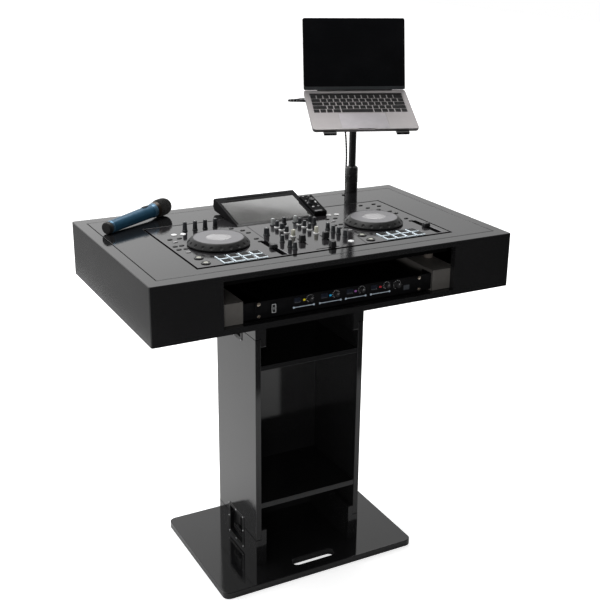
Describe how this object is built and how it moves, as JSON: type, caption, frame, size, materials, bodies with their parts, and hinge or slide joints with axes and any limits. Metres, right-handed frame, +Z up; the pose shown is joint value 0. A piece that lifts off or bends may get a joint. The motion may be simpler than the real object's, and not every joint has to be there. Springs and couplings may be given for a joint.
{
  "type": "dj booth",
  "caption": "Free-standing DJ booth: a shallow table on a shelved column and base plate, fitted with a mixing console, rack receiver, laptop on a mast and a microphone.",
  "frame": {"origin": "on the floor under the middle of the column, at the middle of the table's width and depth", "axes": "+Z up, +X to the player's right, +Y away from the player, towards the audience"},
  "size_m": [1.0254, 0.6378, 1.4875],
  "materials": {
    "board": "satin black laminate on board",
    "black_metal": "black powder coat",
    "mast_metal": "gloss black lacquer",
    "screw_steel": "bright zinc",
    "receiver_metal": "fine black texture",
    "console_plastic": "satin moulded",
    "screen_plastic": "gloss black",
    "jog_plastic": "satin with a metallic top plate",
    "knob_plastic": "soft-touch black",
    "button_plastic": "satin with lit caps",
    "rubber": "matte black",
    "screen_glass": "dark glossy display",
    "board_green": "solder mask",
    "laptop_aluminium": "bead-blasted grey",
    "microphone_blue": "metallic blue lacquer",
    "microphone_mesh": "black mesh over foam",
    "lead_jacket": "black and white braid",
    "plug_plastic": "moulded black"
  },
  "bodies": {
    "booth": {"base_plate": "board", "base_plinths": "board", "table_necks": "board", "column_left_panel": "board", "column_right_panel": "board", "column_back_panel": "board", "lower_shelf": "board", "upper_shelf": "board", "table_bottom_board": "board", "table_front_panel": "board", "table_back_panel": "board", "table_left_panel": "board", "table_right_panel": "board", "table_rim": "board", "table_insert": "board", "console_beams": "board", "latch_dishes": "black_metal", "rack_rails": "black_metal", "mast_tube": "mast_metal", "mast_clutch": "mast_metal", "rack_screws": "screw_steel", "receiver_case": "receiver_metal", "console_case": "console_plastic", "console_fascia": "console_plastic", "screen_housing": "screen_plastic", "mixer_knobs": "knob_plastic", "receiver_encoders": "knob_plastic", "deck_buttons": "button_plastic", "console_feet": "rubber", "performance_pads": "rubber", "lead_grommet": "rubber", "screen_glass": "screen_glass", "circuit_boards": "board_green", "usb_lead_lower": "lead_jacket"},
    "mast_rod": {"mast_rod": "mast_metal", "lead_clip": "rubber"},
    "laptop_stand": {"laptop_tray": "black_metal", "laptop_base": "laptop_aluminium", "usb_plug": "plug_plastic", "usb_lead_upper": "lead_jacket"},
    "laptop_lid": {"laptop_lid": "laptop_aluminium"},
    "microphone": {"microphone_handle": "microphone_blue", "microphone_grille": "microphone_mesh"},
    "latch_wing_bottom_left": {"latch_wing_bottom_left": "black_metal"},
    "latch_wing_bottom_right": {"latch_wing_bottom_right": "black_metal"},
    "latch_wing_top_left": {"latch_wing_top_left": "black_metal"},
    "latch_wing_top_right": {"latch_wing_top_right": "black_metal"},
    "jog_wheel_left": {"jog_wheel_left": "jog_plastic"},
    "jog_wheel_right": {"jog_wheel_right": "jog_plastic"},
    "tempo_slider_left": {"tempo_slider_left": "knob_plastic"},
    "tempo_slider_right": {"tempo_slider_right": "knob_plastic"},
    "channel_fader_1": {"channel_fader_1": "knob_plastic"},
    "channel_fader_2": {"channel_fader_2": "knob_plastic"},
    "crossfader": {"crossfader": "knob_plastic"},
    "cue_button_left": {"cue_button_left": "button_plastic"},
    "cue_button_right": {"cue_button_right": "button_plastic"},
    "play_button_left": {"play_button_left": "button_plastic"},
    "play_button_right": {"play_button_right": "button_plastic"},
    "receiver_power_button": {"receiver_power_button": "button_plastic"}
  },
  "joints": [
    {"name": "jog_left_spin", "type": "hinge", "parent": "booth", "child": "jog_wheel_left", "pos_m": [-0.236, -0.06, 0.967], "axis": [0, 0, 1], "continuous": true},
    {"name": "tempo_left_slide", "type": "slide", "parent": "booth", "child": "tempo_slider_left", "axis": [0, 1, 0], "range_m": [-0.05, 0.05]},
    {"name": "cue_left_press", "type": "slide", "parent": "booth", "child": "cue_button_left", "axis": [0, 0, 1], "range_m": [-0.002, 0], "stiffness_N_per_m": 400},
    {"name": "play_left_press", "type": "slide", "parent": "booth", "child": "play_button_left", "axis": [0, 0, 1], "range_m": [-0.002, 0], "stiffness_N_per_m": 400},
    {"name": "jog_right_spin", "type": "hinge", "parent": "booth", "child": "jog_wheel_right", "pos_m": [0.23, -0.06, 0.967], "axis": [0, 0, 1], "continuous": true},
    {"name": "tempo_right_slide", "type": "slide", "parent": "booth", "child": "tempo_slider_right", "axis": [0, 1, 0], "range_m": [-0.05, 0.05]},
    {"name": "cue_right_press", "type": "slide", "parent": "booth", "child": "cue_button_right", "axis": [0, 0, 1], "range_m": [-0.002, 0], "stiffness_N_per_m": 400},
    {"name": "play_right_press", "type": "slide", "parent": "booth", "child": "play_button_right", "axis": [0, 0, 1], "range_m": [-0.002, 0], "stiffness_N_per_m": 400},
    {"name": "channel_fader_1_slide", "type": "slide", "parent": "booth", "child": "channel_fader_1", "axis": [0, 1, 0], "range_m": [-0.022, 0.022]},
    {"name": "channel_fader_2_slide", "type": "slide", "parent": "booth", "child": "channel_fader_2", "axis": [0, 1, 0], "range_m": [-0.022, 0.022]},
    {"name": "crossfader_slide", "type": "slide", "parent": "booth", "child": "crossfader", "axis": [1, 0, 0], "range_m": [-0.036, 0.008]},
    {"name": "receiver_power_press", "type": "slide", "parent": "booth", "child": "receiver_power_button", "axis": [0, 1, 0], "range_m": [0, 0.002], "stiffness_N_per_m": 500},
    {"name": "latch_bottom_left_turn", "type": "hinge", "parent": "booth", "child": "latch_wing_bottom_left", "pos_m": [-0.1655, 0.008, 0.066], "axis": [-1, 0, 0], "range_deg": [0, 180]},
    {"name": "latch_bottom_right_turn", "type": "hinge", "parent": "booth", "child": "latch_wing_bottom_right", "pos_m": [0.1655, 0.008, 0.066], "axis": [1, 0, 0], "range_deg": [0, 180]},
    {"name": "latch_top_left_turn", "type": "hinge", "parent": "booth", "child": "latch_wing_top_left", "pos_m": [-0.1655, 0.008, 0.745], "axis": [-1, 0, 0], "range_deg": [0, 180]},
    {"name": "latch_top_right_turn", "type": "hinge", "parent": "booth", "child": "latch_wing_top_right", "pos_m": [0.1655, 0.008, 0.745], "axis": [1, 0, 0], "range_deg": [0, 180]},
    {"name": "mast_slide", "type": "slide", "parent": "booth", "child": "mast_rod", "axis": [0, 0, 1], "range_m": [-0.05, 0.08], "deforming": ["usb_lead_lower"]},
    {"name": "tray_swivel", "type": "hinge", "parent": "mast_rod", "child": "laptop_stand", "pos_m": [0.3595, 0.284, 1.275], "axis": [0, 0, 1], "range_deg": [-70, 70], "deforming": ["usb_lead_upper"]},
    {"name": "lid_hinge", "type": "hinge", "parent": "laptop_stand", "child": "laptop_lid", "pos_m": [0.3328, 0.2359, 1.2858], "axis": [0.9421, -0.3355, 0], "range_deg": [-10, 124]},
    {"name": "microphone_lift", "type": "slide", "parent": "booth", "child": "microphone", "axis": [0, 0, 1], "range_m": [0, 0.3]}
  ]
}
